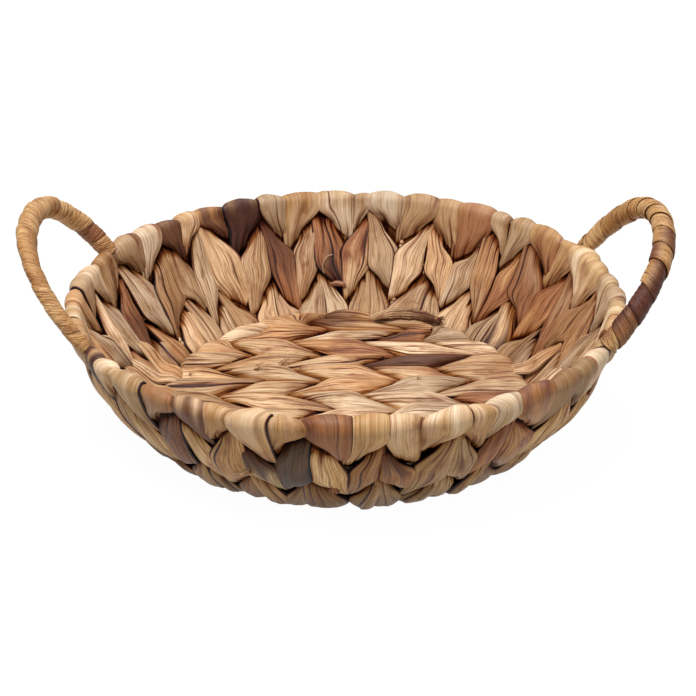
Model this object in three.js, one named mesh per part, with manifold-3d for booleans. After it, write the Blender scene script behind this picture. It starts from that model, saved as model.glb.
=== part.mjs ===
// A round, shallow basket with two upright handles, twined from flattened water hyacinth stems
// over a welded steel wire frame. Millimetres, +Z up, the handles at +X and -X.
import * as THREE from "three";
import Module from "manifold-3d";

const wasm = await Module();
wasm.setup();

// Wire frame. Ring radii are those of the wire's centre line.
const RIM_RING_RADIUS = 168;
const BASE_RING_RADIUS = 123;
const RIM_HEIGHT = 80;
const WALL_BOW = 5.5;
const RING_WIRE = 3.5;
const UPRIGHT_WIRE = 3;
const PLAITS_PER_UPRIGHT = 5;
const FLOOR_WIRE = 3;
const FLOOR_WIRE_COUNT = 5;
const FLOOR_WIRE_INSET = 27;
const HOOP_WIRE = 5;

// Flattened stems. A wall plait is two lanes twined opposite ways, which draws a row of Vs.
const PLAIT_COUNT = 25;
const STRAND_THICKNESS = 3.4;
const FLOOR_ROW_COUNT = 12;
const FLOOR_EDGE = 1.95;
const FLOOR_LIFT = 0.8;
const FOOT_FLAT = 0.6;
const PLAIT_JOIN = 1.6;

// Handles. The span is counted in lanes of the wall, so that each foot stands between two lanes.
const HANDLE_SPAN_LANES = 7;
const HANDLE_RISE = 66;
const HANDLE_LEAN = THREE.MathUtils.degToRad(38);
const HANDLE_SQUARENESS = 2.3;
const WRAP_THICKNESS = 4.4;
const WRAP_CROWN = 0.9;
const WRAP_TURNS = 12;
const WRAP_GAP = 0.9;

// Clearances
const STRAND_ON_WIRE = 0.3;
const WRAP_ON_HOOP = 0.5;
const WIRE_TO_WIRE = 0.3;
const STRAND_TO_STRAND = 0.4;

// How finely the curves are divided
const STEPS_BETWEEN_WIRES = 4;
const WALL_FOLD_STEPS = 4;
const FLOOR_FOLD_STEPS = 2;
const RING_STEPS = 50;
const WIRE_SIDES = 5;
const UPRIGHT_STEPS = 4;
const HOOP_STEPS = 22;
const WRAP_STEPS_PER_TURN = 8;

// Sizes worked out from the ones above
const ringRadius = RING_WIRE / 2;
const wallReach = ringRadius + STRAND_ON_WIRE + STRAND_THICKNESS / 2;
const foldRadius = wallReach + STRAND_THICKNESS / 2;
const rimRingHeight = RIM_HEIGHT - foldRadius;
const baseRingHeight = foldRadius - FOOT_FLAT;
const floorReach = FLOOR_WIRE / 2 + STRAND_ON_WIRE + STRAND_THICKNESS / 2;
const floorHeight = FLOOR_LIFT + floorReach + STRAND_THICKNESS / 2;
const floorRadius = BASE_RING_RADIUS - foldRadius - STRAND_TO_STRAND;
const floorRowPitch = (2 * (floorRadius - FLOOR_EDGE)) / FLOOR_ROW_COUNT;
const floorWireSpacing = (2 * (BASE_RING_RADIUS - FLOOR_WIRE_INSET)) / (FLOOR_WIRE_COUNT - 1);
const laneAngle = Math.PI / PLAIT_COUNT;

// Materials
const strawTones = [0xc9a473, 0xbf9565, 0xd2b283, 0xb4875a, 0xc79f6c, 0x9c6c48];
const strawMaterial = (index) => new THREE.MeshStandardMaterial({
  color: strawTones[index % strawTones.length], roughness: 0.72, metalness: 0,
});
const steelMaterial = () => new THREE.MeshStandardMaterial({
  color: 0x77746c, roughness: 0.45, metalness: 0.9,
});

const basket = new THREE.Group();

function addMesh(name, geometry, material, parent = basket) {
  const mesh = new THREE.Mesh(geometry, material);
  mesh.name = name;
  parent.add(mesh);
  return mesh;
}

// Skins a row of equal sections into one closed surface. The row closes on itself, or gets two caps.
function skin(sections, closed) {
  const count = sections.length;
  const sides = sections[0].length;
  const points = sections.flat();
  const triangles = [];
  const corner = (i, k) => (i % count) * sides + (k % sides);
  for (let i = 0; i < (closed ? count : count - 1); i++) {
    for (let k = 0; k < sides; k++) {
      triangles.push([corner(i, k), corner(i, k + 1), corner(i + 1, k + 1)]);
      triangles.push([corner(i, k), corner(i + 1, k + 1), corner(i + 1, k)]);
    }
  }
  for (let k = 1; !closed && k < sides - 1; k++) {
    triangles.push([corner(0, 0), corner(0, k + 1), corner(0, k)]);
    triangles.push([corner(count - 1, 0), corner(count - 1, k), corner(count - 1, k + 1)]);
  }
  const volume = triangles.reduce((sum, [a, b, c]) => (
    sum + points[a].dot(new THREE.Vector3().crossVectors(points[b], points[c]))), 0);
  const outward = volume > 0 ? triangles : triangles.map(([a, b, c]) => [a, c, b]);
  const geometry = new THREE.BufferGeometry();
  const positions = points.flatMap((point) => point.toArray());
  geometry.setAttribute("position", new THREE.Float32BufferAttribute(positions, 3));
  geometry.setIndex(outward.flat());
  return geometry;
}

function toSolid(geometry) {
  return new wasm.Manifold(new wasm.Mesh({
    numProp: 3,
    vertProperties: new Float32Array(geometry.attributes.position.array),
    triVerts: new Uint32Array(geometry.index.array),
  }));
}

function toGeometry(solid) {
  const mesh = solid.getMesh();
  const geometry = new THREE.BufferGeometry();
  geometry.setAttribute("position", new THREE.Float32BufferAttribute(mesh.vertProperties, 3));
  geometry.setIndex(Array.from(mesh.triVerts));
  return geometry;
}

// A round wire along points that lie in one plane
function wireAlong(points, planeNormal, radius, closed) {
  const last = points.length - 1;
  const sections = points.map((point, i) => {
    const before = closed ? points[(i + last) % points.length] : points[Math.max(i - 1, 0)];
    const after = closed ? points[(i + 1) % points.length] : points[Math.min(i + 1, last)];
    const tangent = after.clone().sub(before).normalize();
    const across = new THREE.Vector3().crossVectors(planeNormal, tangent);
    return Array.from({ length: WIRE_SIDES }, (_, k) => {
      const angle = (2 * Math.PI * (k + 0.5)) / WIRE_SIDES;
      return point.clone()
        .addScaledVector(across, radius * Math.cos(angle))
        .addScaledVector(planeNormal, radius * Math.sin(angle));
    });
  });
  return skin(sections, closed);
}

// The wall bows out along one arc through the base ring and the rim ring, in the plane of r and z.
const foot = new THREE.Vector2(BASE_RING_RADIUS, baseRingHeight);
const head = new THREE.Vector2(RIM_RING_RADIUS, rimRingHeight);
const chord = head.clone().sub(foot);
const chordUp = chord.clone().normalize();
const chordOut = new THREE.Vector2(chordUp.y, -chordUp.x);
const arcRadius = (chord.lengthSq() / 4 + WALL_BOW ** 2) / (2 * WALL_BOW);
const arcCentre = foot.clone().add(head).multiplyScalar(0.5)
  .addScaledVector(chordOut, WALL_BOW - arcRadius);
const wallHalf = arcRadius * Math.asin(chord.length() / (2 * arcRadius));

// A point of the wall, at a height along the arc from its middle and a distance out of the arc
function wallPoint(along, out, azimuth) {
  const turn = along / arcRadius;
  const point = arcCentre.clone()
    .addScaledVector(chordOut, (arcRadius + out) * Math.cos(turn))
    .addScaledVector(chordUp, (arcRadius + out) * Math.sin(turn));
  return new THREE.Vector3(point.x * Math.cos(azimuth), point.x * Math.sin(azimuth), point.y);
}

// The sine at the station that lies nearest to a crossing
const crossingSine = Math.sin((Math.PI * Math.floor(STEPS_BETWEEN_WIRES / 2)) / STEPS_BETWEEN_WIRES);

// One strand doubled round its wires. Its two runs pass each wire on opposite sides and cross
// midway between wires, and at both ends the strand folds back on itself, past a straight tail.
// Each station says how far along and out it is, how far across as a share of the lane, and how
// near a crossing it is, from 0 at a wire to 1 at a crossing.
function twinedLoop(wires, reach, hand, foldSteps, tail = 0) {
  const run = [];
  for (let i = 0; i < wires.length - 1; i++) {
    const side = i % 2 === 0 ? 1 : -1;
    for (let k = 0; k < STEPS_BETWEEN_WIRES; k++) {
      const share = k / STEPS_BETWEEN_WIRES;
      const crossing = Math.sin(Math.PI * share) / crossingSine;
      run.push({
        along: THREE.MathUtils.lerp(wires[i], wires[i + 1], share),
        out: side * reach * Math.cos(Math.PI * share),
        across: (hand * side * crossing) / 4,
        crossing,
      });
    }
  }
  const lastSide = (wires.length - 1) % 2 === 0 ? 1 : -1;
  run.push({ along: wires.at(-1), out: reach * lastSide, across: 0, crossing: 0 });
  if (tail > 0) {
    run.unshift({ ...run[0], along: wires[0] - tail });
    run.push({ ...run.at(-1), along: wires.at(-1) + tail });
  }
  const back = run.map((station) => (
    { ...station, out: -station.out, across: -station.across })).reverse();
  const fold = (station, direction) => Array.from({ length: foldSteps - 1 }, (_, k) => {
    const turn = (Math.PI * (k + 1)) / foldSteps;
    return {
      along: station.along + direction * reach * Math.sin(turn),
      out: station.out * Math.cos(turn),
      across: 0,
      crossing: 0,
      fold: direction,
    };
  });
  return [...run, ...fold(run.at(-1), 1), ...back, ...fold(back.at(-1), -1)];
}

// Gives a strand its leaf-like section, a flat lozenge that fills its lane wherever the strand is
// widest, and near a crossing leaves one side of the lane to its other run. place turns along, out
// and across into a point. edges gives what stays free at the lane's two sides and between runs.
function leafStrand(stations, edges, place) {
  const count = stations.length;
  const half = STRAND_THICKNESS / 2;
  const sections = stations.map((station, i) => {
    const before = stations[(i + count - 1) % count];
    const after = stations[(i + 1) % count];
    const way = new THREE.Vector2(after.along - before.along, after.out - before.out).normalize();
    const [low, high, between] = edges(station);
    const left = station.across > 0 ? 2 * station.across - 0.5 + between : low - 0.5;
    const right = station.across < 0 ? 2 * station.across + 0.5 - between : 0.5 - high;
    const middle = (left + right) / 2;
    return [
      place(station.along, station.out, left),
      place(station.along - half * way.y, station.out + half * way.x, middle),
      place(station.along, station.out, right),
      place(station.along + half * way.y, station.out - half * way.x, middle),
    ];
  });
  return skin(sections, true);
}

// One lane of the wall. It stands back from an upright beside it, and at the foot it reaches past
// the middle of its plait, where the two lanes are knotted together under the base ring.
function wallLane(hand, uprightBeside) {
  const stations = twinedLoop([-wallHalf, 0, wallHalf], wallReach, hand, WALL_FOLD_STEPS);
  const edges = (station) => {
    const laneWidth = wallPoint(station.along, 0, 0).x * laneAngle;
    const gap = STRAND_TO_STRAND / 2;
    const beside = uprightBeside ? UPRIGHT_WIRE / 2 + STRAND_ON_WIRE : gap;
    const outer = Math.max(gap, beside * station.crossing) / laneWidth;
    const inner = (station.fold === -1 ? -PLAIT_JOIN : gap) / laneWidth;
    return hand > 0 ? [inner, outer, gap / laneWidth] : [outer, inner, gap / laneWidth];
  };
  const place = (along, out, across) => wallPoint(along, out, (across + hand / 2) * laneAngle);
  return leafStrand(stations, edges, place);
}

// The ground, as a slab whose top the basket stands on
function groundSlab() {
  const square = (height) => [[-1, -1], [1, -1], [1, 1], [-1, 1]].map(([x, y]) => (
    new THREE.Vector3(2 * x * RIM_RING_RADIUS, 2 * y * RIM_RING_RADIUS, height)));
  return toSolid(skin([square(-foldRadius), square(0)], false));
}

// The two lanes of a plait, joined, and cut flat where the basket stands
function wallPlait(uprightBefore, uprightAfter) {
  const first = toSolid(wallLane(-1, uprightBefore));
  const second = toSolid(wallLane(1, uprightAfter));
  return first.add(second).subtract(groundSlab());
}

// Rings, in level planes
const up = new THREE.Vector3(0, 0, 1);

function ringPath(along) {
  return Array.from({ length: RING_STEPS }, (_, i) => (
    wallPoint(along, 0, (2 * Math.PI * i) / RING_STEPS)));
}

const ringWire = (along) => wireAlong(ringPath(along), up, ringRadius, true);

// Uprights run between the base ring and the rim ring and are welded through the middle ring.
const uprightSpan = wallHalf - ringRadius - WIRE_TO_WIRE;
const plaitEdge = (index) => (2 * index + 0.5) * laneAngle;
const hasUpright = (index) => (index % PLAIT_COUNT) % PLAITS_PER_UPRIGHT === 0;

function uprightWire(azimuth) {
  const path = Array.from({ length: UPRIGHT_STEPS + 1 }, (_, i) => (
    wallPoint(uprightSpan * ((2 * i) / UPRIGHT_STEPS - 1), 0, azimuth)));
  const planeNormal = new THREE.Vector3(-Math.sin(azimuth), Math.cos(azimuth), 0);
  return wireAlong(path, planeNormal, UPRIGHT_WIRE / 2, false);
}

function sideFrame() {
  let frame = toSolid(ringWire(0));
  for (let index = 0; index < PLAIT_COUNT; index++) {
    if (hasUpright(index)) frame = frame.add(toSolid(uprightWire(plaitEdge(index))));
  }
  return toGeometry(frame);
}

// Floor wires run front to back and are welded end on to the inside of the base ring.
const floorWireOffsets = Array.from({ length: FLOOR_WIRE_COUNT }, (_, i) => (
  (i - (FLOOR_WIRE_COUNT - 1) / 2) * floorWireSpacing));

function floorWire(x, radius) {
  const reach = BASE_RING_RADIUS - ringRadius - WIRE_TO_WIRE;
  const end = Math.sqrt(reach ** 2 - (Math.abs(x) + FLOOR_WIRE / 2) ** 2);
  const path = [-end, end].map((y) => new THREE.Vector3(x, y, floorHeight));
  return wireAlong(path, up, radius, false);
}

// How far a floor row's last fold may lie from the middle, at a place across the floor
const floorEnd = (y) => (
  Math.sqrt(floorRadius ** 2 - y ** 2) - floorReach - STRAND_THICKNESS / 2);

// A floor row is one strand doubled round the floor wires that its whole width reaches. Where it
// runs on for more than half a spacing, it crosses once more before it folds back. Past its last
// wire it is drawn out slantwise to the round edge of the floor. A wire there parts it, or, where
// not even the row's longer edge would fold past that wire, the row stops short of it.
function floorRow(index) {
  const y = (index - (FLOOR_ROW_COUNT - 1) / 2) * floorRowPitch;
  const end = floorEnd(y);
  const reached = floorEnd(Math.abs(y) + floorRowPitch / 2);
  const longest = floorEnd(Math.abs(y) - floorRowPitch / 2);
  const wireBeyond = Math.min(...floorWireOffsets.filter((x) => x > longest));
  const stop = wireBeyond - FLOOR_WIRE / 2 - STRAND_ON_WIRE - floorReach - STRAND_THICKNESS / 2;
  const wires = floorWireOffsets.filter((x) => Math.abs(x) <= reached);
  const last = wires.at(-1);
  const crossesAgain = end - last > floorWireSpacing / 2;
  const holds = crossesAgain ? [-end, ...wires, end] : wires;
  const hand = index % 2 === 0 ? 1 : -1;
  const tail = crossesAgain ? 0 : end - last;
  const stations = twinedLoop(holds, floorReach, hand, FLOOR_FOLD_STEPS, tail);
  const gap = STRAND_TO_STRAND / 2 / floorRowPitch;
  const place = (along, out, across) => {
    const acrossFloor = y + across * floorRowPitch;
    const past = Math.max(Math.abs(along) - last, 0);
    const drawnTo = Math.min(floorEnd(acrossFloor), stop);
    const drawn = Math.min(past, end - last) * ((drawnTo - end) / (end - last));
    return new THREE.Vector3(along + Math.sign(along) * drawn, acrossFloor, floorHeight + out);
  };
  const row = toSolid(leafStrand(stations, () => [gap, gap, gap], place));
  const others = floorWireOffsets.filter((x) => Math.abs(x) > last);
  return toGeometry(others.reduce((rest, x) => (
    rest.subtract(toSolid(floorWire(x, FLOOR_WIRE / 2 + STRAND_ON_WIRE)))), row));
}

// A handle's hoop is a squared half ellipse that leans out over the rim, both feet on the rim ring.
const leanUp = new THREE.Vector3(Math.sin(HANDLE_LEAN), 0, Math.cos(HANDLE_LEAN));
const leanOut = new THREE.Vector3(Math.cos(HANDLE_LEAN), 0, -Math.sin(HANDLE_LEAN));
const handleHalfAngle = (HANDLE_SPAN_LANES * laneAngle) / 2;

class HoopCurve extends THREE.Curve {
  getPoint(share, target = new THREE.Vector3()) {
    const angle = Math.PI * share;
    const power = 2 / HANDLE_SQUARENESS;
    const sideways = Math.sign(Math.cos(angle)) * Math.abs(Math.cos(angle)) ** power;
    const upwards = Math.abs(Math.sin(angle)) ** power;
    return target
      .set(RIM_RING_RADIUS * Math.cos(handleHalfAngle), 0, rimRingHeight)
      .addScaledVector(new THREE.Vector3(0, 1, 0),
        RIM_RING_RADIUS * Math.sin(handleHalfAngle) * sideways)
      .addScaledVector(leanUp, HANDLE_RISE * upwards);
  }
}

const hoopCurve = new HoopCurve();
hoopCurve.arcLengthDivisions = 600;
const hoopLength = hoopCurve.getLength();

// How fast the rim ring climbs along a foot as it passes under it
const footSlope = Math.sin(handleHalfAngle) * Math.sin(HANDLE_LEAN);

function hoopWire(radius) {
  const cut = ringRadius + WIRE_TO_WIRE + (HOOP_WIRE / 2) * footSlope;
  const path = Array.from({ length: HOOP_STEPS + 1 }, (_, i) => {
    const distance = THREE.MathUtils.lerp(cut, hoopLength - cut, i / HOOP_STEPS);
    return hoopCurve.getPointAt(distance / hoopLength);
  });
  return wireAlong(path, leanOut, radius, false);
}

// The wrap is one flat strip wound round the hoop from foot to foot. Its edges are held between
// the two feet, so the first and the last turn end level.
const wrapBore = (HOOP_WIRE / 2 + WRAP_ON_HOOP) / Math.cos(Math.PI / WRAP_STEPS_PER_TURN);
const wrapRadius = wrapBore + WRAP_THICKNESS;
const wrapStart = foldRadius + STRAND_TO_STRAND + wrapRadius * footSlope;
const wrapPitch = (hoopLength - 2 * wrapStart) / WRAP_TURNS;

function wrapPoint(distance, angle, radius) {
  const held = THREE.MathUtils.clamp(distance, wrapStart, hoopLength - wrapStart);
  const share = held / hoopLength;
  const inward = new THREE.Vector3().crossVectors(hoopCurve.getTangentAt(share), leanOut);
  return hoopCurve.getPointAt(share)
    .addScaledVector(inward, radius * Math.cos(angle))
    .addScaledVector(leanOut, radius * Math.sin(angle));
}

function wrapSections() {
  const halfWidth = (wrapPitch - WRAP_GAP) / 2;
  const steps = WRAP_TURNS * WRAP_STEPS_PER_TURN;
  return Array.from({ length: steps + 1 }, (_, i) => {
    const angle = (2 * Math.PI * i) / WRAP_STEPS_PER_TURN;
    const centre = wrapStart + (wrapPitch * i) / WRAP_STEPS_PER_TURN;
    return [
      wrapPoint(centre - halfWidth, angle, wrapBore),
      wrapPoint(centre + halfWidth, angle, wrapBore),
      wrapPoint(centre + halfWidth, angle, wrapRadius - WRAP_CROWN),
      wrapPoint(centre, angle, wrapRadius),
      wrapPoint(centre - halfWidth, angle, wrapRadius - WRAP_CROWN),
    ];
  });
}

// The least gap from one turn of the wrap to the next, measured between their facing edges
function leastWrapGap(sections) {
  let least = Infinity;
  for (let i = 0; i + WRAP_STEPS_PER_TURN < sections.length; i++) {
    const next = sections[i + WRAP_STEPS_PER_TURN];
    for (const edge of [sections[i][1], sections[i][2]]) {
      least = Math.min(least, edge.distanceTo(next[0]), edge.distanceTo(next[4]));
    }
  }
  return least;
}

// Frame
addMesh("rim_ring", ringWire(wallHalf), steelMaterial());
addMesh("middle_ring_and_uprights", sideFrame(), steelMaterial());
addMesh("base_ring", ringWire(-wallHalf), steelMaterial());
floorWireOffsets.forEach((x, i) => {
  addMesh(`floor_wire_${i + 1}`, floorWire(x, FLOOR_WIRE / 2), steelMaterial());
});

// Handles
const sections = wrapSections();
console.log(`least gap between turns of a handle's wrap: ${leastWrapGap(sections).toFixed(2)} mm`);
for (const [side, azimuth] of [["right", 0], ["left", Math.PI]]) {
  const handle = new THREE.Group();
  handle.rotation.z = azimuth;
  basket.add(handle);
  addMesh(`handle_hoop_${side}`, hoopWire(HOOP_WIRE / 2), steelMaterial(), handle);
  addMesh(`handle_wrap_${side}`, skin(sections, false), strawMaterial(2), handle);
}

// Floor
for (let index = 0; index < FLOOR_ROW_COUNT; index++) {
  const name = `floor_row_${String(index + 1).padStart(2, "0")}`;
  addMesh(name, floorRow(index), strawMaterial(index + 1));
}

// Wall plaits, parted where a floor wire or a foot of a handle goes through them
const grownWires = [
  ...floorWireOffsets.map((x) => floorWire(x, FLOOR_WIRE / 2 + STRAND_ON_WIRE)),
  hoopWire(HOOP_WIRE / 2 + STRAND_ON_WIRE),
  hoopWire(HOOP_WIRE / 2 + STRAND_ON_WIRE).rotateZ(Math.PI),
].map(toSolid);
for (let index = 0; index < PLAIT_COUNT; index++) {
  const azimuth = plaitEdge(index) + laneAngle;
  const turned = THREE.MathUtils.radToDeg(azimuth);
  const whole = wallPlait(hasUpright(index), hasUpright(index + 1));
  const parted = grownWires.reduce((plait, wire) => (
    plait.subtract(wire.rotate([0, 0, -turned]))), whole);
  const name = `wall_plait_${String(index + 1).padStart(2, "0")}`;
  const mesh = addMesh(name, toGeometry(parted), strawMaterial(index * 2));
  mesh.rotation.z = azimuth;
}

export default basket;
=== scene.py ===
"""Looks of a round, shallow basket twined from flattened water hyacinth stems over a wire frame.

Lengths are in metres. Azimuths turn from +X towards +Y, and the camera looks along +Y. A plait of the
wall is two lanes, and each lane is one strand doubled round the rings. In the functions s, w and h
are the sizes of the frame, the weave and the handles.
"""

import math
from types import SimpleNamespace

import bpy
import numpy as np
from bpy.props import FloatProperty, FloatVectorProperty, IntProperty, PointerProperty
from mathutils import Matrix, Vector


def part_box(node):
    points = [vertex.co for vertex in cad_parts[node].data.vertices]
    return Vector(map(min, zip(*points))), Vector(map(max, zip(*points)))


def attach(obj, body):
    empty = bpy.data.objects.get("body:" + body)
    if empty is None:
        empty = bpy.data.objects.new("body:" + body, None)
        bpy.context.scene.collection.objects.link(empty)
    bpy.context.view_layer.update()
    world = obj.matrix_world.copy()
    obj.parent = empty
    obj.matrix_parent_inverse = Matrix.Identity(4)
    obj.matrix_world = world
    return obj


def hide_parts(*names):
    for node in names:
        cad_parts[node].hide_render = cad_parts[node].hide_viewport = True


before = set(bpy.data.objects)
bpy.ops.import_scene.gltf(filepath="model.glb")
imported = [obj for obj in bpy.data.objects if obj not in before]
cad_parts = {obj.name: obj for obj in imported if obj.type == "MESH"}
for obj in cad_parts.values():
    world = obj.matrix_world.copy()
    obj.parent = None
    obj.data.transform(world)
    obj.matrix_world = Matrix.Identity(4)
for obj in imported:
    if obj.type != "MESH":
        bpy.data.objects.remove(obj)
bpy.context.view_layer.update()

bl_info = {
    "name": "Water hyacinth basket",
    "version": (1, 0, 0),
    "blender": (4, 5, 0),
    "location": "3D View > Sidebar > Basket",
    "description": "Builds the woven wall and floor, the wound handles and the wire frame of a basket",
    "category": "Object",
}

MM = 0.001
PLAITS, ROWS, FLOOR_WIRES = (sorted(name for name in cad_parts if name.startswith(start))
                             for start in ("wall_plait_", "floor_row_", "floor_wire_"))
FLOOR_WIRE_PLACES = [(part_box(name)[0].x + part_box(name)[1].x) / 2 for name in FLOOR_WIRES]
LANE = math.pi / len(PLAITS)  # Azimuth that one lane of the wall takes up
WELD_GAP = 0.3 * MM  # What a wire's end leaves free of the ring that it is welded to
HALF_STEM = 10.5 * MM  # Half the width of a flattened stem, which spreads the fibres across it
LOWEST = 0.4 * MM  # The floor's stems stay so far above what the basket stands on
FIBRE_POINTS, SCAR_POINTS, TONGUE_POINTS = 14, 22, 60


# Colours

def linear(code):
    """A colour written as sRGB hex, turned to linear red, green and blue."""
    parts = [int(code[i:i + 2], 16) / 255 for i in (1, 3, 5)]
    return [p / 12.92 if p <= 0.04045 else ((p + 0.055) / 1.055) ** 2.4 for p in parts]


STRAW = "#f8e3ca"
TAN = "#e6c9a8"
HONEY = "#d6ab80"
DULL_TAN = "#d6b28a"
RUST = "#b17f5c"
BROWN = "#80573f"
MAROON = "#57322a"
PLUM = "#6e4c3d"
CHARCOAL = "#5a3f2a"
BLEACHED = "#d8cdb9"
# Painted shade that darkens and dulls the leaves on the wall's outer face
OUTSIDE_SHADE = "#e6dabc"

# How often each tone comes up among ordinary leaves
TONES = {STRAW: 0.38, TAN: 0.29, HONEY: 0.13, DULL_TAN: 0.16, RUST: 0.035, BROWN: 0.005}
END_WEIGHTS = [1, 1, 1, 1, 4, 10]  # How much more often each comes up at a leaf's other end

# Leaves of a lane in the wall, in the order of its strand. INSIDE and OUTER pass the middle ring.
BASE, INSIDE, RIM, OUTER = range(4)

# Leaves that stand out in the wall: lane, leaf, tone at its first and at its last end. A rim leaf
# starts outside and ends inside.
WALL_LEAVES = [
    (16, RIM, TAN, MAROON), (17, RIM, HONEY, BROWN), (13, INSIDE, MAROON, RUST), (8, RIM, STRAW, RUST),
    (6, INSIDE, RUST, HONEY), (5, RIM, TAN, RUST), (16, BASE, TAN, PLUM), (15, INSIDE, RUST, BROWN),
    (36, OUTER, "#6a523d", CHARCOAL), (35, OUTER, PLUM, BLEACHED), (37, RIM, RUST, BROWN),
    (43, RIM, HONEY, "#8a5a46"), (29, RIM, MAROON, HONEY), (33, RIM, BROWN, TAN), (42, OUTER, RUST, HONEY),
    (39, OUTER, BROWN, DULL_TAN), (5, BASE, TAN, MAROON), (7, BASE, TAN, RUST), (22, INSIDE, BROWN, RUST),
    (20, BASE, TAN, BROWN), (12, INSIDE, TAN, RUST), (4, INSIDE, HONEY, RUST), (40, RIM, TAN, STRAW),
    (38, RIM, TAN, HONEY), (41, RIM, DULL_TAN, TAN), (34, RIM, DULL_TAN, DULL_TAN), (35, RIM, TAN, TAN),
    (36, RIM, DULL_TAN, TAN), (39, RIM, TAN, TAN),
]

# Crossings that stand a little open: lane, span (0 the lower, 1 the upper), share of the lane
PINHOLES = {(19, 1): 0.1, (9, 0): 0.12, (7, 0): 0.1, (37, 1): 0.16, (31, 0): 0.1, (47, 1): 0.1}

# Leaves that are narrower or lie to one side: lane, leaf, then what they gain at either edge and
# their shift, as shares of the lane. The first two leave the rim wire bare between them.
NARROW = {(6, RIM): (0.0, -0.1), (7, RIM): (0.0, 0.1), (14, INSIDE): (-0.06, 0.0),
          (10, INSIDE): (0.02, 0.08), (38, OUTER): (-0.05, 0.0)}

# Leaves that stand out in the floor: row from 1, place along it in metres, tone at either end
FLOOR_LEAVES = [
    (9, 0.048, PLUM, PLUM), (6, 0.096, RUST, BROWN), (11, -0.03, BROWN, MAROON), (8, 0.055, RUST, TAN),
    (8, -0.072, RUST, MAROON), (11, 0.05, RUST, BROWN), (10, 0.0, HONEY, RUST), (4, 0.03, DULL_TAN, TAN),
    (12, 0.0, TAN, BROWN),
]

# Leaf scars on the wall: lane, share of the height down from the rim, millimetres outwards, half
# length, width and thickness in millimetres, tone
SCARS = [
    (46.2, 0.3, 5.3, (3.5, 1.4, 0.8), RUST), (37.15, 0.64, 5.6, (4.0, 3.4, 2.4), RUST),
    (47.6, 0.03, -5.8, (3.4, 2.2, 1.8), RUST), (47.9, 0.1, -6.0, (2.4, 1.6, 1.4), HONEY),
]

# Small frays on the floor: root, way that they point, count
FLOOR_FRAYS = [
    ((-0.058, 0.029, 0.0122), (1, 0.5, 0.3), 7), ((-0.042, 0.038, 0.0122), (1, -0.5, 0.3), 7),
    ((0.045, 0.014, 0.0122), (0.7, -0.9, 0.25), 5), ((-0.1, 0.02, 0.012), (0.4, 1, 0.4), 4),
]

# Each handle's strip. The right handle starts at its rear foot, the left one in front. bare is what
# stays free of the strip at a foot. slim is how flat the handle is wound out of its own plane: shares
# of the hoop, and there the share of the full thickness. marked gives turns with a tone of their own.
STRIPS = {
    "right": {"sign": 1, "bare": 4.5 * MM, "slim": ([0, 0.25, 1], [0.85, 1, 1]),
              "marked": {8: "#8d5f42", 10: "#6d3d2c", 11: "#6d3d2c", 12: "#a87a54"}},
    "left": {"sign": -1, "bare": 2.4 * MM, "slim": ([0, 0.3, 0.45, 0.7, 1], [0.62, 0.66, 0.86, 1, 0.9]),
             "marked": {11: RUST, 12: HONEY}},
}
STRIP_TONES = ["#ecca9a", "#dcb27c", "#e0b987", "#e6c292", "#d8ad78"]


# Sizes and colours that a user would change

def length(name, description, millimetres):
    """A length, given in millimetres and kept in metres."""
    return FloatProperty(name=name, description=description, default=millimetres * MM, unit="LENGTH",
                         precision=4)


def angle(name, description, degrees):
    """An angle, given in degrees and kept in radians."""
    return FloatProperty(name=name, description=description, default=math.radians(degrees),
                         subtype="ANGLE")


def colour(name, description, code):
    """A colour, given as sRGB hex and kept linear."""
    return FloatVectorProperty(name=name, description=description, default=linear(code),
                               subtype="COLOR", size=3, min=0, max=1)


class FrameSizes(bpy.types.PropertyGroup):
    rim_radius: length("Rim radius", "From the middle to the centre of the rim ring", 168)
    base_radius: length("Base radius", "From the middle to the centre of the base ring", 123)
    rim_height: length("Rim ring height", "Height of the rim ring's centre", 74.55)
    base_height: length("Base ring height", "Height of the base ring's centre", 4.85)
    wall_bow: length("Wall bow", "How far the wall bows out of its chord", 5.5)
    ring_wire: length("Ring wire", "Thickness of the three rings' wire", 3.5)
    upright_wire: length("Upright wire", "Thickness of the uprights and the floor wires", 3)
    hoop_wire: length("Hoop wire", "Thickness of a handle's wire", 5)
    uprights_every: IntProperty(name="Plaits between uprights", default=5,
                                description="How many wall plaits stand between two uprights")
    steel: colour("Steel", "Colour of the drawn wire", "#8d887f")


class WeaveSizes(bpy.types.PropertyGroup):
    thickness: length("Stem thickness", "Thickness of a flattened stem", 3.2)
    wall_reach: length("Wall reach", "From a ring's centre to the middle of a stem on it", 3.75)
    floor_reach: length("Floor reach", "From a floor wire's centre to the middle of a stem on it", 3.5)
    floor_height: length("Floor height", "Height of the floor wires' centres", 6)
    floor_radius: length("Floor radius", "Outer radius of the twined floor", 117.15)
    floor_edge: length("Floor edge", "What the outermost rows leave free of the floor's round", 1.95)
    crown: length("Crown", "How far a leaf's edges lie behind its middle", 2.3)
    wall_slant: length("Wall slant", "How far a lane's width would draw a leaf's tip out", 19)
    floor_slant: length("Floor slant", "The same in the floor", 24)
    facet: length("Facet depth", "Depth of the creases between a stem's broad facets", 0.9)
    ridge: length("Ridge depth", "Depth of the furrows between a stem's ribs", 0.35)
    step: length("Step", "Length of one step along a stem", 1.4)
    points: IntProperty(name="Points across", description="Points across one face of a stem", default=39)


class HandleSizes(bpy.types.PropertyGroup):
    rise: length("Rise", "Height of a hoop along its lean", 66)
    lean: angle("Lean", "How far a hoop leans out of the upright", 38)
    squareness: FloatProperty(name="Squareness", description="2 is an ellipse, more is squarer",
                              default=2.3)
    span: angle("Span", "Azimuth from a handle's middle to its foot", 25.2)
    radius: length("Wrap radius", "Radius over the wound strip", 7.5)
    turns: IntProperty(name="Turns", description="Turns of the strip round one hoop", default=13)


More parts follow.
